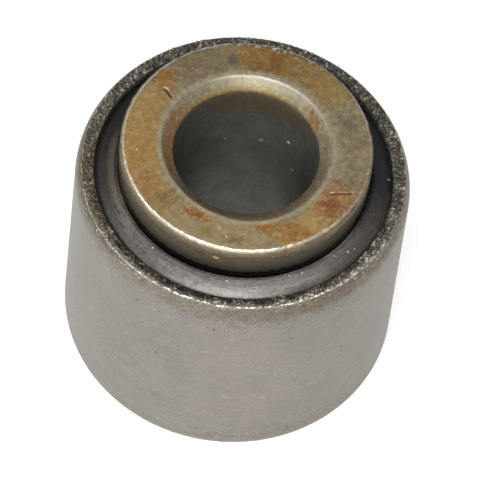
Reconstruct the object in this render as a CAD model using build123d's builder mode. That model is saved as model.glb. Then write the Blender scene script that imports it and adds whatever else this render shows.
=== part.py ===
# Rubber metal bush, in millimetres: a thick steel sleeve for a bolt, a steel tube round it,
# and a ring of rubber bonded between the two. The bore runs along Z and the origin is on its
# axis, halfway along. Every piece is a solid of revolution with both of its ends alike.
import os
from math import radians, tan

from build123d import *

# Inner sleeve, clamped by the bolt
bolt_diameter = 24.0
bolt_clearance = 0.4
inner_wall = 8.8
bore_chamfer = 2.0
inner_edge_bevel = 0.6
# How far the sleeve stands out of the tube at each end
inner_stand = 7.5

# Rubber, with its end measured from the plane of the tube's rim; the slope is in degrees
rubber_thickness = 4.0
rubber_crest = 0.3
rubber_sink = 1.4
crest_slope = 16.0
groove_width = 0.7
groove_depth = 0.5

# Outer sleeve, pressed into its eye
outer_wall = 3.0
outer_length = 43.0
lead_length = 3.4
lead_depth = 1.1

# Radii and heights that follow, from the bore outwards
bore_radius = (bolt_diameter + bolt_clearance) / 2
inner_radius = bore_radius + inner_wall
tube_radius = inner_radius + rubber_thickness
outer_radius = tube_radius + outer_wall
rim_height = outer_length / 2
inner_length = outer_length + 2 * inner_stand

os.makedirs("parts", exist_ok=True)

# Inner sleeve: a thick wall with wide chamfers at the bore and a fine bevel round each face
with BuildPart() as inner_sleeve:
    with BuildSketch(Plane.XZ) as inner_section:
        with Locations((bore_radius, 0)):
            Rectangle(inner_wall, inner_length, align=(Align.MIN, Align.CENTER))
        corners = inner_section.vertices().group_by(Axis.X)
        chamfer(corners[0], bore_chamfer)
        chamfer(corners[-1], inner_edge_bevel)
    revolve(axis=Axis.Z)
inner_sleeve.part.label = "inner_sleeve"

# Outer sleeve: a tube whose ends are drawn in by an arc that leaves the wall at a tangent and
# stops at a flat rim, so that the bush starts straight when it is pressed in
with BuildPart() as outer_sleeve:
    with BuildSketch(Plane.XZ) as outer_section:
        with BuildLine() as outer_outline:
            wall = Line((outer_radius, 0), (outer_radius, rim_height - lead_length))
            lead = TangentArc(wall @ 1, (outer_radius - lead_depth, rim_height), tangent=wall % 1)
            rim = Line(lead @ 1, (tube_radius, rim_height))
            Line(rim @ 1, (tube_radius, 0))
            mirror(about=Plane.XZ)
        make_face()
    revolve(axis=Axis.Z)
outer_sleeve.part.label = "outer_sleeve"

# Rubber: it swells to a crest beside the inner sleeve, with a narrow groove against that
# sleeve, and falls away in one arc to meet the tube below its rim
with BuildPart() as rubber_ring:
    with BuildSketch(Plane.XZ) as rubber_section:
        with BuildLine() as rubber_outline:
            crest = (inner_radius + groove_width, rim_height + rubber_crest)
            groove = Line(crest, (inner_radius, rim_height + rubber_crest - groove_depth))
            flank_end = (tube_radius, rim_height - rubber_sink)
            flank = TangentArc(crest, flank_end, tangent=(1, -tan(radians(crest_slope))))
            Line(groove @ 1, (inner_radius, 0))
            Line(flank @ 1, (tube_radius, 0))
            mirror(about=Plane.XZ)
        make_face()
    revolve(axis=Axis.Z)
rubber_ring.part.label = "rubber_ring"

export_step(inner_sleeve.part, "parts/inner_sleeve.step")
export_step(outer_sleeve.part, "parts/outer_sleeve.step")
export_step(rubber_ring.part, "parts/rubber_ring.step")
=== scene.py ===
# Rubber metal bush, in metres, in the frame of its CAD model: the bore runs along Z and the
# origin is on the axis, halfway along. The three turned pieces are modelled here with the
# fine shapes and finishes of a used bush: sawn rims, light rust, nicks and dusty rubber.
from math import asin, atan2, cos, degrees, exp, hypot, pi, radians, sin

import bmesh
import bpy
from mathutils import Matrix, Vector, noise


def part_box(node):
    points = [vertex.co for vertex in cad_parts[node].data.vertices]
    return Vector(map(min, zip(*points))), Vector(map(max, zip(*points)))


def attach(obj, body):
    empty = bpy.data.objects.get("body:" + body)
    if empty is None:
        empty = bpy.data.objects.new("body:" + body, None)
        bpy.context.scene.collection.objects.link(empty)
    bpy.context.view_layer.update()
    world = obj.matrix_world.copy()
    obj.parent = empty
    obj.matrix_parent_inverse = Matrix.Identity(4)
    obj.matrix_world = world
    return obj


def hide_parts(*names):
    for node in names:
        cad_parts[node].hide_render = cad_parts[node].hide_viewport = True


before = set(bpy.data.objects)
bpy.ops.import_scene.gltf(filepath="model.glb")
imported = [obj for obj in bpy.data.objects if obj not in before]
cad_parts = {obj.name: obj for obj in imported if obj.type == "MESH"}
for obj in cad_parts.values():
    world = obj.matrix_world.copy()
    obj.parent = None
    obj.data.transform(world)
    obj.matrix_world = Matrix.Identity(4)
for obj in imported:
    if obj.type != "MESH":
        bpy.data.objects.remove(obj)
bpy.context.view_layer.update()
mm = 0.001

# Main sizes, read from the CAD solids
inner_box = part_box("inner_sleeve")
tube_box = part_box("outer_sleeve")
rubber_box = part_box("rubber_ring")
inner_radius = inner_box[1].x
face_height = inner_box[1].z
outer_radius = tube_box[1].x
rim_height = tube_box[1].z
tube_bore = rubber_box[1].x
crest_height = rubber_box[1].z

# Sizes of the edges and ends
bore_radius = 12.2 * mm
bore_chamfer = 2.0 * mm
edge_bevel = 0.6 * mm
lead_length = 3.4 * mm
lead_depth = 1.1 * mm
groove_width = 0.7 * mm
groove_depth = 0.5 * mm
rubber_sink = 1.4 * mm
crest_slope = radians(16)

# Steps round each piece
inner_steps = 860
tube_steps = 1300
rubber_steps = 720

# Steps across each piece. Those on the ends of the steel pieces are doubled at the lower end.
bevel_step, face_step, chamfer_step, inner_wall_step = 0.17 * mm, 0.25 * mm, 0.3 * mm, 2.2 * mm
rim_step, edge_step, tube_bore_step, tube_wall_step = 0.13 * mm, 0.15 * mm, 6 * mm, 4 * mm
fine_edge_length = 0.9 * mm
rubber_step, rubber_wall_step = 0.2 * mm, 50 * mm

# Camera
view_elevation = radians(57.0)
view_roll = radians(7.386)
view_distance = 1015.7 * mm
framing_right = 0.853 * mm
framing_up = 0.066 * mm
lens = 450


# Modelling

def section_point(bm, radius, height):
    """A point of a piece's section, in the plane through the axis."""
    return bm.verts.new((radius, 0, height))


def section_arc(bm, start, centre, angle, steps):
    """An arc of the section: one point turned about a centre. Gives its two ends."""
    first = section_point(bm, *start)
    turned = bmesh.ops.spin(bm, geom=[first], cent=(centre[0], 0, centre[1]), axis=(0, -1, 0),
                            angle=angle, steps=steps, use_merge=False)
    last = [v for v in turned["geom_last"] if isinstance(v, bmesh.types.BMVert)][0]
    return first, last


def join(bm, *points):
    """Straight edges from each point of the section to the next."""
    for a, b in zip(points, points[1:]):
        bm.edges.new((a, b))


def mirror_section(bm):
    """The lower half of the section, joined to the upper one at mid height."""
    bmesh.ops.mirror(bm, geom=bm.verts[:] + bm.edges[:], matrix=Matrix.Identity(4),
                     merge_dist=1e-6, axis="Z")


def divide_section(bm, spacing):
    """Divides the section's edges to the spacing that a place on it needs."""
    for edge in bm.edges[:]:
        middle = (edge.verts[0].co + edge.verts[1].co) / 2
        cuts = int(edge.calc_length() / spacing(middle.x, middle.z))
        if cuts > 0:
            bmesh.ops.subdivide_edges(bm, edges=[edge], cuts=cuts)


def turn(bm, steps, sectors=20):
    """Turns the section about the bore axis into one sector, then repeats that all the way
    round, and closes the ring with its faces outwards."""
    bmesh.ops.spin(bm, geom=bm.verts[:] + bm.edges[:], cent=(0, 0, 0), axis=(0, 0, 1),
                   angle=2 * pi / sectors, steps=steps // sectors, use_merge=False)
    bmesh.ops.spin(bm, geom=bm.verts[:] + bm.edges[:] + bm.faces[:], cent=(0, 0, 0), axis=(0, 0, 1),
                   angle=2 * pi * (sectors - 1) / sectors, steps=sectors - 1, use_duplicate=True)
    bmesh.ops.remove_doubles(bm, verts=bm.verts[:], dist=1e-6)
    bmesh.ops.recalc_face_normals(bm, faces=bm.faces[:])


def add_object(name, data):
    thing = bpy.data.objects.new(name, data)
    bpy.context.scene.collection.objects.link(thing)
    return thing


def finished(bm, name):
    """A smooth-shaded object made of the mesh, at the origin."""
    for face in bm.faces:
        face.smooth = True
    mesh = bpy.data.meshes.new(name)
    bm.to_mesh(mesh)
    bm.free()
    return add_object(name, mesh)


def lumps(place, size, shift=0.0):
    """Smooth unevenness from -1 to 1, with lumps of about the given size."""
    return noise.noise(place / size + Vector((shift, shift, shift)))


def ease(value, start, end):
    """0 up to start, 1 from end, and smooth between them."""
    t = min(1.0, max(0.0, (value - start) / (end - start)))
    return t * t * (3 - 2 * t)


def hump(value, spread):
    """1 at 0, and falling off smoothly on both sides."""
    return exp(-(value / spread) ** 2)


def turned_to(place):
    """Radius and angle in degrees of a point, seen from above."""
    return hypot(place.x, place.y), degrees(atan2(place.y, place.x)) % 360


def on_face(angle, radius):
    return Vector((radius * cos(radians(angle)), radius * sin(radians(angle))))


def beside_line(angle, radius, a, b):
    """How far a point of the face lies to the left or right of a straight mark from a to b."""
    point = on_face(angle, radius) - on_face(*a)
    along = on_face(*b) - on_face(*a)
    reached = min(1.0, max(0.0, point.dot(along) / along.length_squared))
    off = point - along * reached
    side = along.x * off.y - along.y * off.x
    return off.length * (1 if side >= 0 else -1)


# Marks on the visible face: both ends as angle and radius, then width and depth
face_marks = [
    ((333.4, 16.4 * mm), (339.6, 19.3 * mm), 0.22 * mm, 0.15 * mm),
    ((148.2, 17.3 * mm), (150.4, 15.6 * mm), 0.32 * mm, 0.16 * mm),
    ((326.0, 17.3 * mm), (331.0, 18.1 * mm), 0.18 * mm, 0.05 * mm),
    ((196.0, 18.6 * mm), (199.0, 17.9 * mm), 0.20 * mm, 0.04 * mm),
    ((208.0, 18.2 * mm), (211.0, 17.7 * mm), 0.20 * mm, 0.04 * mm),
    ((184.0, 19.6 * mm), (186.0, 18.6 * mm), 0.20 * mm, 0.04 * mm),
    ((99.0, 13.2 * mm), (99.4, 13.9 * mm), 0.12 * mm, 0.06 * mm),
]

# The bore's chamfer is worn wider towards one side: how much, at which angles of the upper and
# the lower end, and how broadly
chamfer_wear = 0.7 * mm
upper_wear_angle, lower_wear_angle, wear_spread = 283.0, 120.0, 35.0

# Depths of the light wear of the inner sleeve
chamfer_waver = 0.06 * mm
bevel_wear = 0.05 * mm
bevel_dents, bevel_scuffs = 0.12 * mm, 0.06 * mm
face_wear = 0.014 * mm
face_scuffs = 0.012 * mm
side_wear = 0.01 * mm
mark_waver = 0.10 * mm
full_mark_depth = 0.16 * mm


def shape_inner_sleeve(bm):
    """Worn edges, a chamfer wider on one side, a face that isn't quite flat, and its nicks."""
    chamfer_highlight = bm.verts.layers.float.new("chamfer_highlight")
    cut = bm.verts.layers.float.new("cut")
    mouth_edge = inner_radius - edge_bevel - bore_radius - bore_chamfer
    for v in bm.verts:
        radius, angle = turned_to(v.co)
        out = Vector((v.co.x, v.co.y, 0)) / radius
        up = 1 if v.co.z > 0 else -1
        end = face_height - abs(v.co.z)
        inward = bore_radius + bore_chamfer - radius
        shift = Vector()
        if end < bore_chamfer and inward > -mouth_edge:
            share = 1 - inward / bore_chamfer if inward > 0 else 1 + inward / mouth_edge
            worn_from = upper_wear_angle if up > 0 else lower_wear_angle
            worn = chamfer_wear * hump(angle - worn_from, wear_spread)
            worn += chamfer_waver * lumps(v.co, 3 * mm, 2.0)
            shift += out * worn * max(0.0, share)
            # Marks where a highlight is painted along the chamfer's upper edge
            v[chamfer_highlight] = hump(inward / mm + 0.4, 0.42)
        if end < edge_bevel * 1.05 and radius > bore_radius + bore_chamfer * 1.02:
            wear = ease(radius, inner_radius - edge_bevel * 2.2, inner_radius - edge_bevel * 0.7)
            wear *= 1 - ease(radius, inner_radius - edge_bevel * 0.3, inner_radius)
            dents = bevel_dents * lumps(v.co, 1.2 * mm) + bevel_scuffs * lumps(v.co, 0.4 * mm)
            shift.z -= up * wear * max(0.0, bevel_wear + dents)
            if end < 1e-6:
                waves = face_wear * lumps(v.co, 2.5 * mm) + face_scuffs * lumps(v.co, 0.5 * mm)
                shift.z -= up * max(0.0, face_wear + waves)
        if end < bore_chamfer and up > 0:
            for a, b, width, depth in face_marks:
                off = beside_line(angle, radius, a, b)
                off += mark_waver * lumps(v.co, 0.8 * mm, 13.0)
                if abs(off) < 3 * width:
                    groove = hump(off / width * 1.6, 1.0)
                    raised = hump((off / width - 1.2) * 1.8, 1.0)
                    shift.z = min(0.0, shift.z + 0.25 * depth * raised) - depth * groove
                    broken = max(0.0, 0.5 + 2 * lumps(v.co, 0.7 * mm, 17.0))
                    v[cut] += (groove - 0.7 * raised * broken) * depth / full_mark_depth
        if radius > inner_radius - 1e-6 and end > edge_bevel * 1.05:
            shift -= out * side_wear * (1 + lumps(v.co, 1.5 * mm))
        v.co += shift


def make_inner_sleeve():
    bm = bmesh.new()
    join(bm,
         section_point(bm, bore_radius, 0),
         section_point(bm, bore_radius, face_height - bore_chamfer),
         section_point(bm, bore_radius + bore_chamfer, face_height),
         section_point(bm, inner_radius - edge_bevel, face_height),
         section_point(bm, inner_radius, face_height - edge_bevel),
         section_point(bm, inner_radius, 0))
    mirror_section(bm)

    def spacing(radius, height):
        end = face_height - abs(height)
        coarse = 1 if height > 0 else 2
        if end < edge_bevel and radius > inner_radius - edge_bevel:
            return bevel_step * coarse
        if end < 1e-6:
            return face_step * coarse
        if end < bore_chamfer and radius < bore_radius + bore_chamfer:
            return chamfer_step * coarse
        return inner_wall_step

    divide_section(bm, spacing)
    turn(bm, inner_steps)
    shape_inner_sleeve(bm)
    return finished(bm, "inner_sleeve_turned")


# The sawn rim leaves a step where the cut ends: its angles, and how far the edge runs out
step_from, step_to, step_depth = 265.5, 269.6, 0.45 * mm
# Where the rim's outer edge lies further out or in: the angle, its spread, and how far
edge_shifts = [(198, 30, 0.34 * mm), (238, 18, 0.10 * mm), (312, 20, -0.10 * mm)]
# Torn grains of the rim, the burr along its outer edge, and the drop of its inner side
edge_waver = 0.20 * mm
grain_height, grain_sink = 0.15 * mm, 0.14 * mm
burr_height, burr_spread = 0.20 * mm, 0.23 * mm
inner_drop = 0.30 * mm
torn_inward = 0.06 * mm


def shape_outer_sleeve(bm):
    """Sawn rims: torn grains, a ragged burr along the outer edge and an inner side that falls."""
    rim = bm.verts.layers.float.new("rim")
    grain = bm.verts.layers.float.new("grain")
    burr = bm.verts.layers.float.new("burr")
    for v in bm.verts:
        radius, angle = turned_to(v.co)
        depth = rim_height - abs(v.co.z)
        if depth > lead_length:
            continue
        up = 1 if v.co.z > 0 else -1
        out = Vector((v.co.x, v.co.y, 0)) / radius
        across = radius + depth if radius > tube_bore + 0.1 * mm else radius - depth
        edge = outer_radius - lead_depth
        edge += ease(angle, step_from, step_to) * (angle < step_to) * step_depth * (up > 0)
        edge += edge_waver * (lumps(v.co, 1.8 * mm, 3.0) + lumps(v.co, 0.6 * mm, 7.0))
        edge += sum(shift * hump(angle - middle, spread) for middle, spread, shift in edge_shifts)
        zone = 1 - ease(across, edge - 0.05 * mm, edge + 0.55 * mm)
        zone *= ease(across, tube_bore - 0.5 * mm, tube_bore)
        torn = (1.10 * lumps(v.co, 0.42 * mm) + 0.60 * lumps(v.co, 0.8 * mm, 5.0)
                + 0.50 * lumps(v.co, 1.6 * mm, 9.0))
        ridge = hump(across - edge, burr_spread)
        ridge *= ease(lumps(v.co, 0.9 * mm, 11.0), -0.35, 0.15)
        fall = 1 - ease(across, tube_bore - 0.2 * mm, tube_bore + 1.5 * mm)
        rise = zone * (grain_height * torn - grain_sink) - inner_drop * fall
        rise += burr_height * ridge * (1 + 0.9 * torn)
        v.co.z += up * rise
        at_edge = ease(radius, outer_radius - lead_depth, outer_radius)
        v.co -= out * torn_inward * zone * max(0.0, torn) * at_edge
        v[rim] = zone
        v[grain] = torn * zone
        v[burr] = ridge


def make_outer_sleeve():
    bm = bmesh.new()
    bend = (lead_depth ** 2 + lead_length ** 2) / (2 * lead_depth)
    shoulder = rim_height - lead_length
    bottom, top = section_arc(bm, (outer_radius, shoulder), (outer_radius - bend, shoulder),
                              asin(lead_length / bend), 10)
    join(bm, section_point(bm, outer_radius, 0), bottom)
    join(bm, top, section_point(bm, tube_bore, rim_height), section_point(bm, tube_bore, 0))
    mirror_section(bm)

    def spacing(radius, height):
        end = rim_height - abs(height)
        coarse = 1 if height > 0 else 2
        if end < 0.05 * mm:
            return rim_step * coarse
        if end < fine_edge_length and radius > tube_bore + 0.1 * mm:
            return edge_step * coarse
        if radius < tube_bore + 0.1 * mm:
            return tube_bore_step
        return tube_wall_step

    divide_section(bm, spacing)
    turn(bm, tube_steps)
    shape_outer_sleeve(bm)
    return finished(bm, "outer_sleeve_tube")


# Unevenness of the moulded end faces, from broad to fine, and how far they have sunk
broad_swell, small_swell, fine_swell = 0.05 * mm, 0.02 * mm, 0.006 * mm
rubber_set = 0.03 * mm
held_edge = 0.3 * mm


def shape_rubber_ring(bm):
    """Moulding unevenness on the end faces, which stay put where they meet the steel."""
    for v in bm.verts:
        radius = hypot(v.co.x, v.co.y)
        if abs(v.co.z) < rim_height - 3 * mm:
            continue
        up = 1 if v.co.z > 0 else -1
        free = ease(radius, inner_radius, inner_radius + held_edge)
        free *= 1 - ease(radius, tube_bore - held_edge, tube_bore)
        swell = broad_swell * lumps(v.co, 5 * mm) + small_swell * lumps(v.co, 1.2 * mm, 4.0)
        swell += fine_swell * lumps(v.co, 0.4 * mm, 8.0)
        v.co.z += up * free * (swell - rubber_set)


def make_rubber_ring():
    bm = bmesh.new()
    crest = Vector((inner_radius + groove_width, crest_height))
    rim = Vector((tube_bore, rim_height - rubber_sink))
    chord = rim - crest
    inward = Vector((-sin(crest_slope), -cos(crest_slope)))
    bend = chord.length_squared / (2 * chord.dot(inward))
    first, last = section_arc(bm, rim, crest + inward * bend, 2 * asin(chord.length / 2 / bend), 15)
    join(bm, section_point(bm, tube_bore, 0), first)
    join(bm, last, section_point(bm, inner_radius, crest_height - groove_depth),
         section_point(bm, inner_radius, 0))
    mirror_section(bm)

    def spacing(radius, height):
        on_end = abs(height) > rim_height - rubber_sink - 0.1 * mm
        return rubber_step if on_end else rubber_wall_step

    divide_section(bm, spacing)
    turn(bm, rubber_steps)
    shape_rubber_ring(bm)
    return finished(bm, "rubber_ring_moulded")


# Material nodes

def tone(red, green, blue):
    """A colour as it looks on a screen, 0 to 255, as the linear colour that a shader takes."""
    def linear(c):
        c /= 255
        return c / 12.92 if c <= 0.04045 else ((c + 0.055) / 1.055) ** 2.4
    return (linear(red), linear(green), linear(blue), 1.0)


def put(tree, value, socket):
    """Joins another socket to this one, or sets it to a plain value."""
    if isinstance(value, bpy.types.NodeSocket):
        tree.links.new(value, socket)
    else:
        socket.default_value = value


def calc(tree, operation, *values, clamp=False):
    node = tree.nodes.new("ShaderNodeMath")
    node.operation = operation
    node.use_clamp = clamp
    for value, socket in zip(values, node.inputs):
        put(tree, value, socket)
    return node.outputs[0]


def times(tree, first, *others):
    """The product of all the values."""
    for other in others:
        first = calc(tree, "MULTIPLY", first, other)
    return first


def plus(tree, base, *shares):
    """The base plus shares of other values. Each pair holds a value and its share."""
    for value, share in shares:
        base = calc(tree, "MULTIPLY_ADD", value, share, base)
    return base


def minus(tree, first, second):
    return calc(tree, "SUBTRACT", first, second)


def larger(tree, first, second):
    return calc(tree, "MAXIMUM", first, second)


def ramp(tree, value, low, high, to_low=0.0, to_high=1.0):
    """A smooth step from one value to another while the input goes from low to high."""
    node = tree.nodes.new("ShaderNodeMapRange")
    node.interpolation_type = "SMOOTHSTEP"
    given = {"Value": value, "From Min": low, "From Max": high, "To Min": to_low, "To Max": to_high}
    for name, number in given.items():
        put(tree, number, node.inputs[name])
    return node.outputs["Result"]


def blend(tree, factor, first, second, kind="MIX"):
    node = tree.nodes.new("ShaderNodeMix")
    node.data_type = "RGBA"
    node.blend_type = kind
    put(tree, factor, node.inputs[0])
    put(tree, first, node.inputs[6])
    put(tree, second, node.inputs[7])
    return node.outputs[2]


def between(tree, factor, first, second):
    """A plain value between two others."""
    node = tree.nodes.new("ShaderNodeMix")
    node.data_type = "FLOAT"
    put(tree, factor, node.inputs[0])
    put(tree, first, node.inputs[2])
    put(tree, second, node.inputs[3])
    return node.outputs[0]


def tint(tree, colour, mask, strength, *shade):
    """Lays a colour, given as it looks on a screen, over another one where the mask is."""
    return blend(tree, times(tree, mask, strength), colour, tone(*shade))


def dim(tree, colour, factor):
    """The colour times a factor that changes over the surface."""
    return blend(tree, 1.0, colour, vector(tree, factor, factor, factor), "MULTIPLY")


def vector(tree, x, y, z):
    node = tree.nodes.new("ShaderNodeCombineXYZ")
    for value, socket in zip((x, y, z), node.inputs):
        put(tree, value, socket)
    return node.outputs[0]


def split(tree, value):
    node = tree.nodes.new("ShaderNodeSeparateXYZ")
    put(tree, value, node.inputs[0])
    return node.outputs


def attribute(tree, name):
    node = tree.nodes.new("ShaderNodeAttribute")
    node.attribute_type = "GEOMETRY"
    node.attribute_name = name
    return node.outputs["Fac"]


def noise_at(tree, place, scale, detail, rough):
    node = tree.nodes.new("ShaderNodeTexNoise")
    put(tree, place, node.inputs["Vector"])
    put(tree, scale, node.inputs["Scale"])
    node.inputs["Detail"].default_value = detail
    node.inputs["Roughness"].default_value = rough
    return node.outputs["Fac"]


def new_group(name, inputs, outputs):
    tree = bpy.data.node_groups.new(name, "ShaderNodeTree")
    for label, kind in inputs:
        tree.interface.new_socket(label, in_out="INPUT", socket_type="NodeSocket" + kind)
    for label, kind in outputs:
        tree.interface.new_socket(label, in_out="OUTPUT", socket_type="NodeSocket" + kind)
    return tree, tree.nodes.new("NodeGroupInput").outputs, tree.nodes.new("NodeGroupOutput").inputs


def floats(*names):
    return [(name, "Float") for name in names]


def use(tree, group, **values):
    """Places a group in a material, with its own values. Gives the group's outputs."""
    node = tree.nodes.new("ShaderNodeGroup")
    node.node_tree = group
    for name, value in values.items():
        put(tree, value, node.inputs[name])
    return node.outputs


def turned_place_group():
    """Where a point lies on a turned piece, in degrees and millimetres. Across runs over an
    end from the bore to the outer wall, and the lower end is turned round by an angle."""
    tree, given, result = new_group(
        "turned place", floats("End", "Split", "Turn"),
        floats("Angle", "Across", "Height", "Radius") + [("Place", "Vector"), ("Round", "Vector")])
    coords = tree.nodes.new("ShaderNodeTexCoord")
    scaled = tree.nodes.new("ShaderNodeVectorMath")
    scaled.operation = "SCALE"
    tree.links.new(coords.outputs["Object"], scaled.inputs[0])
    scaled.inputs["Scale"].default_value = 1 / mm
    x, y, z = split(tree, scaled.outputs[0])
    radius = calc(tree, "SQRT", calc(tree, "ADD", times(tree, x, x), times(tree, y, y)))
    angle = times(tree, calc(tree, "ARCTAN2", y, x), 180 / pi)
    lower = calc(tree, "LESS_THAN", z, 0.0)
    angle = calc(tree, "ADD", angle, times(tree, lower, given["Turn"]))
    angle = calc(tree, "FLOORED_MODULO", angle, 360.0)
    depth = minus(tree, given["End"], calc(tree, "ABSOLUTE", z))
    outer = calc(tree, "GREATER_THAN", radius, given["Split"])
    side = minus(tree, times(tree, outer, 2.0), 1.0)
    across = plus(tree, radius, (side, depth))
    turn_x = calc(tree, "DIVIDE", x, radius)
    turn_y = calc(tree, "DIVIDE", y, radius)
    found = {"Angle": angle, "Across": across, "Height": z, "Radius": radius,
             "Place": scaled.outputs[0], "Round": vector(tree, turn_x, turn_y, across)}
    for name, value in found.items():
        put(tree, value, result[name])
    return tree


def stain_group():
    """A soft patch between two angles and two places across, with a ragged edge."""
    tree, given, result = new_group(
        "stain", floats("Angle", "Across", "Break", "From", "To", "Low", "High", "Soft", "Ragged"),
        floats("Mask"))

    def share(value, low, high):
        middle = times(tree, calc(tree, "ADD", low, high), 0.5)
        half = times(tree, minus(tree, high, low), 0.5)
        off = calc(tree, "DIVIDE", minus(tree, value, middle), half)
        return calc(tree, "POWER", calc(tree, "ABSOLUTE", off), 3.0)

    off = calc(tree, "ADD", share(given["Angle"], given["From"], given["To"]),
               share(given["Across"], given["Low"], given["High"]))
    off = calc(tree, "POWER", off, 1 / 3)
    off = plus(tree, off, (given["Break"], given["Ragged"]))
    mask = ramp(tree, off, minus(tree, 1.0, given["Soft"]),
                calc(tree, "ADD", 1.0, given["Soft"]), 1.0, 0.0)
    put(tree, mask, result["Mask"])
    return tree


def band_group():
    """A ring between two places across an end, with soft and ragged sides."""
    tree, given, result = new_group(
        "band", floats("Across", "Break", "Low", "High", "Soft", "Ragged"), floats("Mask"))
    value = plus(tree, given["Across"], (given["Break"], given["Ragged"]))

    def step(limit, below, above):
        return ramp(tree, value, minus(tree, given[limit], given["Soft"]),
                    calc(tree, "ADD", given[limit], given["Soft"]), below, above)

    put(tree, times(tree, step("Low", 0.0, 1.0), step("High", 1.0, 0.0)), result["Mask"])
    return tree


def grain_group():
    """Fine grain and broader clouds, both from about -0.5 to 0.5."""
    tree, given, result = new_group(
        "grain", [("Place", "Vector")] + floats("Fine", "Broad"), floats("Grain", "Clouds"))
    for size, name, detail in ((given["Fine"], "Grain", 2.0), (given["Broad"], "Clouds", 3.0)):
        value = noise_at(tree, given["Place"], calc(tree, "DIVIDE", 1.0, size), detail, 0.55)
        put(tree, minus(tree, value, 0.5), result[name])
    return tree


def marks_group():
    """Fine marks that run round the axis, as a lathe, a grinder or a mould leaves them."""
    tree, given, result = new_group(
        "round marks", [("Round", "Vector")] + floats("Width", "Stretch"), floats("Marks"))
    x, y, across = split(tree, given["Round"])
    place = vector(tree, times(tree, x, given["Stretch"]), times(tree, y, given["Stretch"]),
                   calc(tree, "DIVIDE", across, given["Width"]))
    put(tree, minus(tree, noise_at(tree, place, 1.0, 3.0, 0.6), 0.5), result["Marks"])
    return tree


def specks_group():
    """Scattered small specks. Share is the part of the places that have one."""
    tree, given, result = new_group(
        "specks", [("Place", "Vector")] + floats("Spacing", "Size", "Share"), floats("Mask"))
    cells = tree.nodes.new("ShaderNodeTexVoronoi")
    tree.links.new(given["Place"], cells.inputs["Vector"])
    put(tree, calc(tree, "DIVIDE", 1.0, given["Spacing"]), cells.inputs["Scale"])
    parts = tree.nodes.new("ShaderNodeSeparateColor")
    tree.links.new(cells.outputs["Color"], parts.inputs[0])
    size = times(tree, given["Size"], calc(tree, "ADD", parts.outputs[1], 0.5))
    size = calc(tree, "DIVIDE", size, given["Spacing"])
    near = ramp(tree, cells.outputs["Distance"], times(tree, size, 0.5), size, 1.0, 0.0)
    chosen = calc(tree, "LESS_THAN", parts.outputs[0], given["Share"])
    put(tree, times(tree, near, chosen), result["Mask"])
    return tree


turned_place = turned_place_group()
stain = stain_group()
band = band_group()
grain = grain_group()
round_marks = marks_group()
specks = specks_group()


def empty_tree(owner):
    """The node tree of a material or a world, with nothing in it yet."""
    owner.use_nodes = True
    owner.node_tree.nodes.clear()
    return owner.node_tree


def new_material(name):
    material = bpy.data.materials.new(name)
    tree = empty_tree(material)
    shader = tree.nodes.new("ShaderNodeBsdfPrincipled")
    output = tree.nodes.new("ShaderNodeOutputMaterial")
    tree.links.new(shader.outputs[0], output.inputs["Surface"])
    return material, tree, shader


def bump(tree, height, strength, distance):
    node = tree.nodes.new("ShaderNodeBump")
    node.inputs["Strength"].default_value = strength
    node.inputs["Distance"].default_value = distance
    put(tree, height, node.inputs["Height"])
    return node.outputs[0]


def set_surface(tree, shader, colour, metal, gloss, normal):
    given = {"Base Color": colour, "Metallic": metal, "Roughness": gloss, "Normal": normal}
    for name, value in given.items():
        put(tree, value, shader.inputs[name])


def turning_marks(tree, place, width, stretch):
    return use(tree, round_marks, Round=place["Round"], Width=width, Stretch=stretch)["Marks"]


def patch(tree, where, start, end, low, high, soft, ragged):
    """The mask of a stain between two angles and two places across. Where holds the angle, the
    place across and the noise that breaks up the edge."""
    angle, across, rag = where
    return use(tree, stain, Angle=angle, Across=across, Break=rag, From=start, To=end,
               Low=low, High=high, Soft=soft, Ragged=ragged)["Mask"]


def ring(tree, across, rag, low, high, soft, ragged):
    """The mask of a ring between two places across."""
    return use(tree, band, Across=across, Break=rag, Low=low, High=high, Soft=soft,
               Ragged=ragged)["Mask"]


def scatter(tree, place, spacing, size, share):
    """The mask of scattered specks."""
    return use(tree, specks, Place=place, Spacing=spacing, Size=size, Share=share)["Mask"]


def small_marks(tree, where, rows, ragged):
    """One mask for small marks, each given by its two angles and its two places across."""
    mask = 0.0
    for row in rows:
        mask = larger(tree, mask, patch(tree, where, *row, 0.5, ragged))
    return mask


def wash(tree, where, rows, colour):
    """Lays stains over a colour. A row holds its two angles, its two places across, its
    colour, strength, softness and raggedness, and last how rusty it is, if it is."""
    rust = 0.0
    for start, end, low, high, shade, strength, soft, ragged, *rusty in rows:
        mask = times(tree, patch(tree, where, start, end, low, high, soft, ragged), strength)
        colour = blend(tree, mask, colour, tone(*shade))
        if rusty:
            rust = larger(tree, rust, times(tree, mask, rusty[0]))
    return colour, rust


# How far the stains of the lower end are turned round, in degrees
inner_turn, rubber_turn = 137.0, 90.0
# The radius in millimetres where the bore's side of an end passes into its outer side
inner_split, tube_split = 16.6, 25.05

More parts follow.
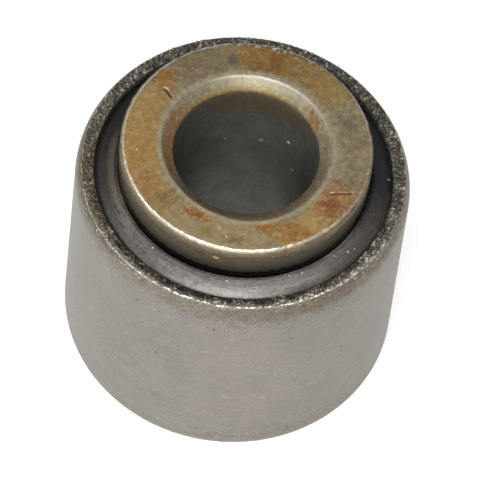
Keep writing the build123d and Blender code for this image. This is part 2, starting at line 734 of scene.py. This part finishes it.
# Stains of the inner sleeve. The face lies from 14.2 to 20.4 across, the bore chamfer from
# 10.2 to 14.2, the bore wall below that, the bevel up to 21.6 and the side wall above it.
face_stains = [
    (226, 296, 14.2, 20.6, (170, 152, 114), 1.0, 0.3, 0.8, 0.1),
    # Painted shade on the side wall just below the bevel
    (205, 310, 22.2, 23.7, (108, 92, 70), 0.8, 0.7, 0.6, 0.3),
    (144, 231, 14.9, 20.9, (160, 132, 84), 1.0, 0.3, 0.9, 0.45),
    (36, 68, 15.1, 21.2, (138, 115, 68), 1.0, 0.35, 1.0, 0.5),
    (63, 104, 14.9, 21.4, (126, 98, 52), 1.0, 0.3, 1.0, 0.6),
    (104, 139, 14.2, 20.9, (140, 125, 98), 1.0, 0.3, 0.7, 0.1),
    (116, 131, 17.6, 21.0, (130, 108, 74), 0.5, 0.6, 1.6, 0.3),
    (76, 84, 15.8, 19.8, (108, 72, 34), 0.75, 0.7, 1.8, 0.9),
    (87, 93, 15.0, 17.2, (106, 76, 42), 0.6, 0.7, 1.8, 0.8),
    (55, 59, 15.4, 19.6, (114, 84, 44), 0.5, 0.8, 1.8, 0.8),
    (102, 106.5, 16.4, 18.5, (90, 88, 78), 0.8, 0.7, 1.4),
    (18, 29, 16.2, 19.2, (112, 104, 90), 0.7, 0.8, 1.4),
    (6, 14, 17.6, 20.4, (132, 112, 82), 0.5, 0.8, 1.6, 0.2),
    (137.5, 148.5, 16.9, 21.2, (128, 88, 33), 0.95, 0.45, 1.6, 0.9),
    (150, 175, 15.2, 18.4, (152, 118, 62), 0.5, 0.8, 1.8, 0.6),
    (178, 206, 15.2, 20.8, (157, 122, 64), 0.6, 0.7, 1.8, 0.5),
    (206, 224, 17.2, 20.4, (141, 107, 61), 0.85, 0.6, 1.8, 0.7),
    (222.5, 226.3, 15.0, 18.6, (126, 98, 52), 0.8, 0.6, 1.6, 0.6),
    (227.3, 231, 15.3, 18.7, (130, 102, 56), 0.8, 0.6, 1.6, 0.6),
    (238, 253, 14.9, 17.1, (123, 78, 30), 0.95, 0.7, 1.8, 0.9),
    (252, 258, 17.2, 19.2, (142, 124, 68), 0.6, 0.8, 1.4, 0.3),
    (265, 274, 18.0, 19.5, (128, 108, 76), 0.7, 0.8, 1.6, 0.3),
    (281, 296, 14.9, 17.2, (129, 80, 6), 0.9, 0.7, 1.8, 0.8),
    (290, 314, 16.0, 21.2, (146, 112, 56), 0.95, 0.5, 1.8, 0.8),
    (295, 304, 17.0, 19.3, (132, 86, 38), 0.75, 0.8, 2.0, 0.9),
    (302, 309, 18.8, 20.8, (128, 76, 32), 0.6, 0.8, 2.0, 1.0),
    (310, 325, 15.2, 20.9, (167, 142, 88), 0.9, 0.5, 1.4, 0.4),
    (318, 340, 15.0, 20.2, (134, 94, 48), 0.95, 0.55, 1.8, 0.9),
    (324, 331, 16.6, 19.4, (108, 60, 28), 0.75, 0.7, 2.0, 1.0),
    (331, 342, 15.4, 17.6, (140, 94, 66), 0.6, 0.8, 1.4, 0.6),
    (333, 340, 18.6, 20.6, (146, 108, 64), 0.7, 0.7, 1.6, 0.6),
    (342, 350, 17.4, 20.4, (126, 100, 70), 0.45, 0.8, 1.8, 0.4),
    (27, 45, 9.6, 13.2, (104, 62, 2), 0.95, 0.8, 1.4, 0.9),
    (146, 212, 9.4, 13.4, (124, 92, 52), 0.95, 0.5, 1.2, 0.8),
    (108, 150, 9.4, 11.6, (134, 116, 66), 0.7, 0.6, 1.2, 0.5),
    (335, 375, 9.6, 13.0, (108, 88, 58), 0.6, 0.5, 1.2, 0.5),
    (-10, 28, 9.6, 13.0, (108, 88, 58), 0.6, 0.5, 1.2, 0.5),
    (240, 335, 9.6, 12.4, (104, 66, 40), 0.7, 0.5, 1.4, 0.8),
    (44, 122, 10.0, 11.9, (122, 109, 70), 0.75, 0.8, 0.9, 0.2),
    (48, 146, 9.7, 10.7, (128, 92, 44), 0.75, 0.7, 0.5, 0.8),
    # Painted highlight along the chamfer's upper edge at the back
    (50, 118, 13.6, 14.4, (184, 180, 174), 0.5, 0.8, 0.7),
    (34, 136, 4.0, 10.2, (86, 70, 42), 0.75, 0.7, 0.9, 0.6),
    (52, 96, 5.2, 8.6, (80, 74, 60), 0.6, 0.6, 0.8, 0.2),
]
# Bright nicks on the side wall of the sleeve, below the bevel
side_nicks = [
    (261.3, 263.7, 23.55, 24.0, (214, 176, 122), 0.9, 0.5, 1.4),
    (288.0, 288.8, 22.6, 22.9, (170, 150, 120), 0.6, 0.5, 1.4),
    (241.0, 241.6, 24.4, 24.7, (150, 134, 110), 0.6, 0.5, 1.4),
]
# Crumbs on the bore wall: angle, height, half width and colour
bore_crumbs = [
    (108.5, 13.1, 0.19, (240, 104, 116)), (79.8, 13.35, 0.31, (204, 148, 102)),
    (56.2, 16.5, 0.27, (250, 246, 234)), (49.2, 9.85, 0.20, (214, 210, 200)),
    (123.8, -3.8, 0.24, (232, 230, 220)), (17.0, 15.75, 0.20, (250, 246, 236)),
]


def inner_steel():
    material, tree, shader = new_material("turned_steel_with_rust")
    place = use(tree, turned_place, End=face_height / mm, Split=inner_split, Turn=inner_turn)
    angle, across, spot, height = place["Angle"], place["Across"], place["Place"], place["Height"]
    grit, clouds = use(tree, grain, Place=spot, Fine=0.3, Broad=1.0)
    blotches, haze = use(tree, grain, Place=spot, Fine=0.6, Broad=4.0)
    marks = turning_marks(tree, place, 0.16, 7.0)
    mottle = turning_marks(tree, place, 0.8, 15.0)
    chamfer_highlight = attribute(tree, "chamfer_highlight")
    cut = attribute(tree, "cut")
    rag = plus(tree, clouds, (grit, 0.12), (blotches, 0.7))
    where = (angle, across, rag)

    # Clean steel, its stains, the chamfer, and a painted highlight along the chamfer's upper edge
    cloudy = ramp(tree, haze, -0.12, 0.12)
    colour = blend(tree, cloudy, tone(147, 133, 105), tone(160, 147, 117))
    chamfer = ring(tree, across, grit, 9.9, 14.2, 0.15, 0.2)
    colour = blend(tree, chamfer, colour, tone(134, 127, 106))
    colour, rust = wash(tree, where, face_stains, colour)
    # Painted highlight: a pale ring along the chamfer's upper edge
    chamfer_highlight = times(tree, chamfer_highlight, ramp(tree, clouds, -0.3, 0.1, 0.35, 0.7))
    colour = blend(tree, chamfer_highlight, colour, tone(182, 170, 146))

    # Mottling and tool marks
    shade = plus(tree, 1.0, (grit, 0.2), (clouds, 0.5), (mottle, 0.6), (marks, 0.15))
    colour = dim(tree, colour, shade)

    # Pale strokes, dark creases of the rust, dark pores and pale scuffs
    strokes = ramp(tree, calc(tree, "ABSOLUTE", blotches), 0.0, 0.016, 1.0, 0.0)
    strokes = times(tree, strokes, ramp(tree, clouds, -0.02, 0.08))
    colour = tint(tree, colour, strokes, 0.7, 206, 190, 156)
    creases = calc(tree, "ABSOLUTE", calc(tree, "ADD", blotches, 0.05))
    creases = ramp(tree, creases, 0.0, 0.014, 1.0, 0.0)
    creases = times(tree, creases, ramp(tree, rust, 0.35, 0.8))
    creases = times(tree, creases, ramp(tree, clouds, 0.02, -0.08))
    colour = tint(tree, colour, creases, 0.6, 84, 58, 32)
    dots = scatter(tree, spot, 1.3, 0.18, 0.2)
    colour = tint(tree, colour, dots, 0.5, 74, 58, 40)
    scuffs = scatter(tree, spot, 1.5, 0.2, 0.2)
    scuffs = times(tree, scuffs, ramp(tree, clouds, -0.05, 0.12))
    colour = tint(tree, colour, scuffs, 0.9, 232, 224, 204)

    # Cuts with their raised sides, and chips along the edge of the face
    colour = blend(tree, ramp(tree, cut, 0.1, 0.6, 0.0, 0.9), colour, tone(72, 46, 30))
    colour = blend(tree, ramp(tree, cut, -0.1, -0.5, 0.0, 0.9), colour, tone(208, 188, 154))
    rough_spots = calc(tree, "ADD", grit, clouds)
    chips = patch(tree, where, 46.0, 122.0, 19.7, 21.8, 0.3, 1.2)
    chips = times(tree, chips, ramp(tree, rough_spots, 0.09, 0.16))
    colour = tint(tree, colour, chips, 0.85, 226, 221, 218)

    # Bore wall with its crumbs, and painted light: darker near the mouth and lighter deeper down
    inside = ramp(tree, across, 9.7, 10.3, 1.0, 0.0)
    wall = blend(tree, cloudy, tone(112, 114, 108), tone(126, 126, 118))
    wall = blend(tree, ramp(tree, rust, 0.0, 0.6), wall, tone(106, 88, 54))
    bore_painted_light = ramp(tree, height, 14.0, -10.0, 0.55, 1.85)
    uneven = plus(tree, 1.0, (blotches, 0.3), (clouds, 0.3))
    wall = dim(tree, wall, times(tree, bore_painted_light, uneven))
    for turned, level, size, shade in bore_crumbs:
        spread = degrees(size * mm / bore_radius)
        crumb = patch(tree, (angle, height, grit), turned - spread, turned + spread,
                      level - size, level + size, 0.5, 1.0)
        wall = blend(tree, crumb, wall, tone(*shade))
    colour = blend(tree, inside, colour, wall)

    # Painted shade on the side wall, darker down to the rubber, and a black band above the rubber:
    # bonding film with painted shade in the gap
    painted_side_shade = ramp(tree, across, 21.8, 27.4)
    side_wall_shade = plus(tree, times(tree, ramp(tree, across, 20.9, 21.6), 0.64), (painted_side_shade, 0.38))
    colour = blend(tree, side_wall_shade, colour, tone(30, 27, 21))
    colour, _ = wash(tree, where, side_nicks, colour)
    film_and_painted_light = ring(tree, across, clouds, 26.9, 90.0, 0.08, 1.4)
    bare = patch(tree, where, 120.0, 209.0, 20.0, 40.0, 0.1, 0.5)
    film_and_painted_light = times(tree, film_and_painted_light, plus(tree, 1.0, (bare, -0.6)))
    colour = blend(tree, film_and_painted_light, colour, tone(7, 7, 5))

    # Bare metal along the bevel, partly painted highlight: the bright band is painted mostly on the
    # side that faces 270 degrees, with painted glints elsewhere
    worn = ring(tree, across, rag, 20.42, 20.86, 0.1, 0.5)
    front = patch(tree, where, 214.0, 316.0, 15.0, 26.0, 0.35, 0.8)
    left = patch(tree, where, 128.0, 222.0, 15.0, 26.0, 0.3, 0.5)
    share = larger(tree, front, times(tree, left, 0.45))
    share = larger(tree, share, ramp(tree, rough_spots, 0.07, 0.17, 0.05, 1.0))
    worn = times(tree, worn, share)
    colour = blend(tree, worn, colour, tone(212, 209, 206))

    metal = ramp(tree, rust, 0.0, 1.0, 0.5, 0.05)
    metal = times(tree, metal, ramp(tree, painted_side_shade, 0.0, 1.0, 1.0, 0.2))
    metal = larger(tree, metal, times(tree, film_and_painted_light, 0.85))
    metal = larger(tree, metal, worn)
    gloss = plus(tree, ramp(tree, rust, 0.0, 1.0, 0.46, 0.68), (clouds, 0.3))
    gloss = between(tree, worn, gloss, 0.28)
    relief = plus(tree, times(tree, grit, 0.6), (dots, -0.6), (marks, 0.4), (clouds, 1.2))
    set_surface(tree, shader, colour, metal, gloss, bump(tree, relief, 0.4, 0.06 * mm))
    return material


# Stains of the tube by angle and place across: the rim lies from 25 to 26.9, the drawn-in
# edge up to 31.4, and the wall above it, where 49.5 is at mid height.
rim_stains = [
    (176, 217, 24.5, 27.6, (118, 96, 74), 0.4, 0.5, 1.4),
    (222, 254, 26.4, 27.8, (84, 77, 64), 0.35, 0.5, 1.0),
]
tube_stains = [
    (86, 206, 26.4, 29.0, (98, 94, 68), 0.7, 0.7, 1.0, 0.2),
    (255, 348, 27.2, 31.4, (106, 95, 76), 0.38, 0.4, 2.6, 0.3),
    (283, 338, 27.4, 30.4, (88, 76, 60), 0.35, 0.6, 2.2, 0.4),
    (160, 224, 26.6, 28.8, (90, 79, 66), 0.85, 0.45, 1.8, 0.3),
    (262, 292, 33.0, 50.0, (146, 134, 127), 0.18, 0.7, 0.8),
]
# Pits and light scratches of the wall, by angle and height
wall_pits = [
    (237.7, 238.4, 14.7, 15.2), (247.1, 248.1, 2.5, 3.1), (241.2, 241.7, 9.4, 10.0),
    (247.8, 248.2, 10.3, 10.7), (255.4, 255.9, 5.9, 6.6), (256.3, 256.7, 12.4, 12.9),
    (264.6, 265.1, 15.7, 16.4), (266.4, 267.2, 15.0, 15.8), (293.5, 294.4, 12.0, 12.5),
    (274.7, 275.2, 12.1, 12.7), (279.6, 280.1, 14.2, 14.6), (264.3, 264.8, 2.1, 2.5),
    (315.0, 315.6, 1.8, 2.8), (255.4, 256.0, -5.7, -5.2), (252.7, 253.2, 7.8, 8.3),
]
wall_scratches = [
    (244.8, 245.6, 14.9, 15.7), (227.6, 228.4, 16.4, 17.1), (285.4, 287.6, -6.0, -5.1),
    (231.0, 232.2, -5.6, -5.2), (289.6, 290.2, 1.0, 2.2), (272.6, 274.4, -5.3, -5.0),
    (246.6, 247.4, -1.8, -1.4), (249.8, 250.4, -0.9, -0.4),
]


def tube_steel():
    material, tree, shader = new_material("satin_tube_steel")
    place = use(tree, turned_place, End=rim_height / mm, Split=tube_split, Turn=0.0)
    angle, across, spot, height = place["Angle"], place["Across"], place["Place"], place["Height"]
    grit, clouds = use(tree, grain, Place=spot, Fine=0.24, Broad=1.6)
    blotches, haze = use(tree, grain, Place=spot, Fine=0.8, Broad=9.0)
    lines = turning_marks(tree, place, 0.3, 14.0)
    bands = turning_marks(tree, place, 1.1, 9.0)
    rag = plus(tree, clouds, (blotches, 0.7))
    where = (angle, across, rag)

    def side(start, end, soft, ragged):
        """The rim and the edge round it, between two angles."""
        return patch(tree, where, start, end, 18.0, 36.0, soft, ragged)

    # Wall, darker and brownish where it is drawn in
    cloudy = ramp(tree, haze, -0.12, 0.12)
    colour = blend(tree, cloudy, tone(121, 119, 111), tone(127, 123, 116))
    colour = blend(tree, ramp(tree, bands, -0.15, 0.15, 0.0, 0.3), colour, tone(114, 109, 99))
    edge = ring(tree, across, rag, 26.8, 30.6, 1.1, 1.0)
    cleaner = tint(tree, colour, edge, 0.65, 118, 111, 100)
    colour, rust = wash(tree, where, tube_stains, cleaner)
    colour = blend(tree, ramp(tree, height, -15.0, -12.0, 0.3, 1.0), cleaner, colour)

    # Dark flecks and bright glints near the rim
    near_rim = ramp(tree, across, 27.0, 34.5, 1.0, 0.0)
    flecks = ramp(tree, grit, -0.03, -0.14)
    front_right = patch(tree, where, 262.0, 345.0, 26.0, 34.0, 0.4, 1.4)
    flecks = times(tree, flecks, larger(tree, times(tree, near_rim, 0.8), front_right))
    colour = tint(tree, colour, flecks, 0.75, 66, 56, 44)
    glints = scatter(tree, spot, 0.5, 0.15, 0.5)
    shoulder = ring(tree, across, rag, 26.9, 28.5, 0.4, 1.6)
    sides = larger(tree, side(286.0, 350.0, 0.3, 0.8), side(192.0, 240.0, 0.3, 0.8))
    colour = tint(tree, colour, times(tree, glints, shoulder, sides), 0.7, 214, 208, 196)

    # Scratches and dents that run round the wall, dots, pits and nicks
    x, y, z = split(tree, spot)
    level = vector(tree, times(tree, x, 0.26), times(tree, y, 0.26), z)
    scratches = scatter(tree, level, 0.8, 0.13, 0.3)
    scratches = times(tree, scratches, ramp(tree, clouds, -0.06, 0.1))
    colour = tint(tree, colour, scratches, 0.65, 166, 162, 155)
    dents = scatter(tree, level, 0.95, 0.13, 0.3)
    dents = times(tree, dents, ramp(tree, clouds, 0.06, -0.1))
    colour = tint(tree, colour, dents, 0.6, 80, 75, 68)
    dots = scatter(tree, spot, 2.6, 0.2, 0.16)
    colour = tint(tree, colour, dots, 0.3, 92, 86, 76)
    pits = small_marks(tree, (angle, height, rag), wall_pits, 1.0)
    colour = tint(tree, colour, pits, 0.6, 74, 68, 60)
    nicks = small_marks(tree, (angle, height, rag), wall_scratches, 1.4)
    colour = tint(tree, colour, nicks, 0.3, 170, 166, 158)
    shade = plus(tree, 1.0, (grit, 0.5), (clouds, 0.35), (lines, 0.45))
    colour = dim(tree, colour, shade)

    # Sawn rim, from the grains of its mesh
    torn = attribute(tree, "grain")
    rim = attribute(tree, "rim")
    burr = attribute(tree, "burr")
    crumbs = plus(tree, torn, (grit, 1.6))
    front = side(212.0, 334.0, 0.25, 0.5)
    middle = side(250.0, 298.0, 0.25, 0.5)
    torn_side = side(172.0, 298.0, 0.25, 0.5)
    back = minus(tree, 1.0, front)
    hollow = blend(tree, torn_side, tone(60, 57, 50), tone(24, 22, 17))
    plain = blend(tree, torn_side, tone(111, 107, 95), tone(98, 93, 80))
    sawn = blend(tree, ramp(tree, crumbs, -0.5, 0.0), hollow, plain)
    # Painted glints: bright grain tops, fewer on the side away from 270 degrees
    glint_tops = times(tree, ramp(tree, crumbs, 0.3, 0.7), plus(tree, 1.0, (back, -0.45)))
    sawn = blend(tree, glint_tops, sawn, tone(224, 218, 202))
    sawn, _ = wash(tree, where, rim_stains, sawn)
    # Painted light: the rim's outer side lighter on the side that faces 270 degrees and darker on
    # the far side
    outer_side = ramp(tree, across, 26.1, 26.8)
    sawn = tint(tree, sawn, times(tree, outer_side, front), 0.3, 196, 189, 174)
    sawn = tint(tree, sawn, times(tree, outer_side, back), 0.5, 80, 75, 60)

    # Painted shade along the rim's inner side, all round and strongest on the side that faces 270
    # degrees
    wider_shade = side(224.0, 263.0, 0.3, 0.6)
    reach = plus(tree, across, (rag, 0.9), (wider_shade, -0.4))
    rim_shade = ramp(tree, reach, 25.5, 26.6, 1.0, 0.0)
    rim_shade = times(tree, rim_shade, plus(tree, 0.2, (front, 0.34), (middle, 0.34)))
    sawn = blend(tree, rim_shade, sawn, tone(34, 31, 25))
    colour = blend(tree, ramp(tree, rim, 0.1, 0.6), colour, sawn)
    # Painted shade: the tube's inner wall above the rubber is painted dark
    inner_wall = ramp(tree, across, 24.75, 25.0, 1.0, 0.0)
    colour = blend(tree, inner_wall, colour, tone(60, 58, 54))

    # Painted glints: the burrs along the outer edge, mostly on the side that faces 270 degrees, and
    # flecks on the rim are painted bright, as bare metal
    lit_edge_share = plus(tree, 0.25, (side(240.0, 312.0, 0.35, 0.6), 0.75))
    rim_glints = times(tree, burr, calc(tree, "ADD", times(tree, crumbs, 0.9), 0.95))
    rim_glints = times(tree, ramp(tree, rim_glints, 0.42, 0.68), lit_edge_share)
    sparks = times(tree, ramp(tree, crumbs, 0.75, 1.05), ramp(tree, rim, 0.6, 0.9))
    clear = calc(tree, "MULTIPLY_ADD", rim_shade, -1.2, 1.0, clamp=True)
    rim_glints = larger(tree, rim_glints, times(tree, sparks, clear, 0.8))
    glint_places = times(tree, front, plus(tree, 1.0, (middle, -0.7)))
    glint_places = larger(tree, glint_places, times(tree, side(22.0, 118.0, 0.3, 0.6), 0.8))
    glint_flecks = scatter(tree, spot, 0.6, 0.19, 0.35)
    glint_flecks = times(tree, glint_flecks, glint_places, ramp(tree, rim, 0.5, 0.9))
    rim_glints = larger(tree, rim_glints, times(tree, glint_flecks, 0.85))
    colour = blend(tree, rim_glints, colour, tone(238, 234, 224))

    metal = plus(tree, 0.6, (rust, -0.5), (rim, -0.25))
    metal = times(tree, metal, minus(tree, 1.0, inner_wall))
    metal = larger(tree, metal, times(tree, rim_glints, 0.85))
    gloss = between(tree, rim_glints, plus(tree, 0.52, (lines, 0.2), (clouds, 0.15)), 0.3)
    relief = plus(tree, times(tree, grit, 0.5), (lines, 0.35), (pits, -1.5),
                  (times(tree, grit, rim), 3.0))
    set_surface(tree, shader, colour, metal, gloss, bump(tree, relief, 0.6, 0.05 * mm))
    return material


# Stains, scuffs and dust of the rubber, by angle and radius. The paler brownish rubber by the
# sleeve from 172 to 242 degrees is partly stain and partly painted light.
rubber_stains_and_light = [
    (202, 242, 20.8, 24.2, (98, 88, 74), 0.75, 0.6, 1.0),
    (172, 210, 20.6, 22.9, (104, 94, 78), 0.7, 0.6, 1.0),
    (170, 200, 20.8, 22.6, (74, 70, 62), 0.7, 0.6, 0.8),
    (296, 336, 21.0, 24.4, (88, 78, 68), 0.55, 0.6, 1.4),
    (226, 232, 21.2, 22.8, (122, 116, 106), 0.5, 0.7, 2.0),
    (292, 300, 21.2, 22.6, (124, 118, 110), 0.45, 0.7, 2.0),
    (206, 213, 23.0, 24.6, (92, 84, 74), 0.5, 0.7, 1.6),
]
# Painted light on the rubber: a paler painted sheen along the lip by the sleeve and on the side
# that faces 270 degrees, and painted shade in places, most of it on the sides by the tube
rubber_sheen_and_shade = [
    (246, 330, 20.9, 21.6, (176, 173, 166), 0.8, 0.4, 0.4),
    (194, 248, 20.9, 21.55, (140, 132, 120), 0.65, 0.4, 0.4),
    (218, 242, 21.6, 22.8, (84, 79, 73), 0.5, 0.5, 0.8),
    (266, 284, 23.4, 25.2, (158, 157, 156), 0.25, 0.7, 0.6),
    (222, 268, 21.5, 22.7, (92, 89, 84), 0.5, 0.5, 0.8),
    (140, 216, 22.7, 26.0, (26, 25, 23), 0.85, 0.5, 1.0),
    (176, 252, 23.0, 26.0, (50, 48, 44), 0.7, 0.5, 1.0),
    (236, 262, 24.2, 26.0, (92, 88, 82), 0.4, 0.5, 1.0),
    (282, 350, 23.7, 26.0, (72, 66, 58), 0.7, 0.5, 1.0),
    (312, 352, 22.2, 26.0, (58, 54, 48), 0.45, 0.6, 1.2),
]
# Pale crumbs on the rubber, by angle and radius
rubber_crumbs = [
    (301.7, 302.4, 21.85, 22.15), (324.6, 325.3, 22.8, 23.1), (327.8, 328.3, 23.2, 23.5),
    (296.0, 296.6, 21.6, 21.9), (268.2, 269.4, 22.0, 22.2), (290.6, 291.2, 24.3, 24.6),
    (5.6, 6.4, 24.1, 24.4), (232.6, 233.4, 21.8, 22.1), (318.4, 318.9, 21.9, 22.2),
]


def bonded_rubber():
    material, tree, shader = new_material("bonded_rubber")
    place = use(tree, turned_place, End=rim_height / mm, Split=0.0, Turn=rubber_turn)
    angle, radius, spot = place["Angle"], place["Radius"], place["Place"]
    grit, clouds = use(tree, grain, Place=spot, Fine=0.25, Broad=1.2)
    blotches, haze = use(tree, grain, Place=spot, Fine=0.7, Broad=6.0)
    lines = turning_marks(tree, place, 0.26, 7.0)
    rag = plus(tree, clouds, (blotches, 0.7))
    where = (angle, radius, rag)
    cloudy = ramp(tree, haze, -0.12, 0.12)
    colour = blend(tree, cloudy, tone(28, 29, 30), tone(40, 40, 40))
    colour, _ = wash(tree, where, rubber_stains_and_light, colour)

    # Painted sheen: a thin grey, slightly metallic layer on the side that faces 270 degrees
    film_and_painted_light = patch(tree, where, 216.0, 330.0, 20.4, 26.0, 0.6, 0.6)
    film_and_painted_light = times(tree, film_and_painted_light, ramp(tree, radius, 21.0, 24.0, 0.72, 1.0))
    film_and_painted_light = times(tree, film_and_painted_light, ramp(tree, place["Height"], -1.0, 1.0, 0.45, 1.0))
    colour = tint(tree, colour, film_and_painted_light, 0.8, 136, 133, 128)
    colour, _ = wash(tree, where, rubber_sheen_and_shade, colour)

    # Mould marks, pocks, dust and crumbs, and painted shade in the groove by the sleeve
    shade = plus(tree, 1.0, (grit, 0.6), (lines, 1.5), (blotches, 0.6))
    colour = dim(tree, colour, shade)
    pocks = ramp(tree, grit, -0.06, -0.15)
    pocks = times(tree, pocks, ramp(tree, radius, 21.3, 23.2, 1.0, 0.0))
    colour = tint(tree, colour, pocks, 0.7, 22, 21, 19)
    dust = scatter(tree, spot, 1.1, 0.15, 0.2)
    dust = times(tree, dust, ramp(tree, rag, -0.02, 0.16))
    colour = tint(tree, colour, dust, 0.45, 140, 134, 122)
    crumbs = small_marks(tree, (angle, radius, clouds), rubber_crumbs, 1.4)
    colour = tint(tree, colour, crumbs, 0.8, 196, 192, 184)
    # Painted shade: the groove by the sleeve is painted black
    groove = ramp(tree, radius, 21.0, 21.12, 1.0, 0.0)
    colour = blend(tree, groove, colour, tone(10, 10, 9))

    gloss = plus(tree, 0.38, (clouds, 0.25), (lines, 0.35))
    relief = plus(tree, grit, (lines, 0.9), (crumbs, 2.0))
    normal = bump(tree, relief, 0.6, 0.06 * mm)
    set_surface(tree, shader, colour, times(tree, film_and_painted_light, 0.3), gloss, normal)
    return material


# Pieces

def place_piece(piece, node, material):
    piece.data.materials.append(material)
    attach(piece, "root")
    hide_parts(node)


place_piece(make_inner_sleeve(), "inner_sleeve", inner_steel())
place_piece(make_outer_sleeve(), "outer_sleeve", tube_steel())
place_piece(make_rubber_ring(), "rubber_ring", bonded_rubber())


# Studio: a white floor, a white surround that is dimmer overhead, and soft lamps

floor_size = 6.0
floor_lift = 0.45
horizon_light = 0.75
zenith_light = 0.3
back_share = 0.4


def white_floor():
    material = bpy.data.materials.new("white_paper")
    tree = empty_tree(material)
    new = tree.nodes.new
    paper = new("ShaderNodeBsdfDiffuse")
    glow = new("ShaderNodeEmission")
    path = new("ShaderNodeLightPath")
    side = new("ShaderNodeNewGeometry")
    clear = new("ShaderNodeBsdfTransparent")
    both = new("ShaderNodeAddShader")
    mix = new("ShaderNodeMixShader")
    output = new("ShaderNodeOutputMaterial")
    paper.inputs["Color"].default_value = (0.9, 0.9, 0.9, 1)
    glow.inputs["Color"].default_value = (1, 1, 1, 1)
    seen = larger(tree, path.outputs["Is Camera Ray"], path.outputs["Is Glossy Ray"])
    put(tree, times(tree, seen, floor_lift), glow.inputs["Strength"])
    put(tree, paper.outputs[0], both.inputs[0])
    put(tree, glow.outputs[0], both.inputs[1])
    put(tree, side.outputs["Backfacing"], mix.inputs[0])
    put(tree, both.outputs[0], mix.inputs[1])
    put(tree, clear.outputs[0], mix.inputs[2])
    put(tree, mix.outputs[0], output.inputs["Surface"])
    return material


def make_floor():
    bm = bmesh.new()
    bmesh.ops.create_grid(bm, x_segments=1, y_segments=1, size=floor_size / 2,
                          matrix=Matrix.Translation((0, 0, -face_height)))
    floor = finished(bm, "floor")
    floor.data.materials.append(white_floor())


def make_surround():
    world = bpy.data.worlds.new("white_room")
    bpy.context.scene.world = world
    tree = empty_tree(world)
    coords = tree.nodes.new("ShaderNodeTexCoord")
    _, y, z = split(tree, coords.outputs["Generated"])
    path = tree.nodes.new("ShaderNodeLightPath")
    light = ramp(tree, z, 0.1, 0.75, horizon_light, zenith_light)
    light = times(tree, light, ramp(tree, y, -0.3, 0.5, 1.0, back_share))
    light = between(tree, path.outputs["Is Camera Ray"], light, 1.0)
    room = tree.nodes.new("ShaderNodeBackground")
    output = tree.nodes.new("ShaderNodeOutputWorld")
    room.inputs["Color"].default_value = (1, 1, 1, 1)
    put(tree, light, room.inputs["Strength"])
    tree.links.new(room.outputs[0], output.inputs["Surface"])


def soft_lamp(name, azimuth, elevation, distance, size, power, colour):
    """A square soft lamp that faces the bush. Azimuth 0 is the camera's side, 90 its right."""
    data = bpy.data.lights.new(name, "AREA")
    data.shape = "RECTANGLE"
    data.size, data.size_y = size
    data.energy = power
    data.color = colour
    lamp = add_object(name, data)
    a, e = radians(azimuth), radians(elevation)
    back = Vector((sin(a) * cos(e), -cos(a) * cos(e), sin(e)))
    lamp.location = back * distance
    lamp.rotation_euler = back.to_track_quat("Z", "Y").to_euler()
    lamp.visible_camera = False


def make_camera():
    data = bpy.data.cameras.new("camera")
    data.sensor_width = 36
    data.lens = lens
    data.clip_start = 0.05
    data.clip_end = 20
    camera = add_object("camera", data)
    aim = Matrix.Rotation(pi / 2 - view_elevation, 4, "X") @ Matrix.Rotation(view_roll, 4, "Z")
    camera.matrix_world = aim @ Matrix.Translation((framing_right, framing_up, view_distance))
    bpy.context.scene.camera = camera


make_floor()
make_surround()
soft_lamp("front_window", -4, 46, 1.6, (1.4, 0.9), 30, (1.0, 0.99, 0.98))
soft_lamp("left_window", -80, 30, 1.8, (1.0, 1.0), 10, (0.96, 0.97, 1.0))
make_camera()

bpy.context.scene.view_settings.view_transform = "Standard"
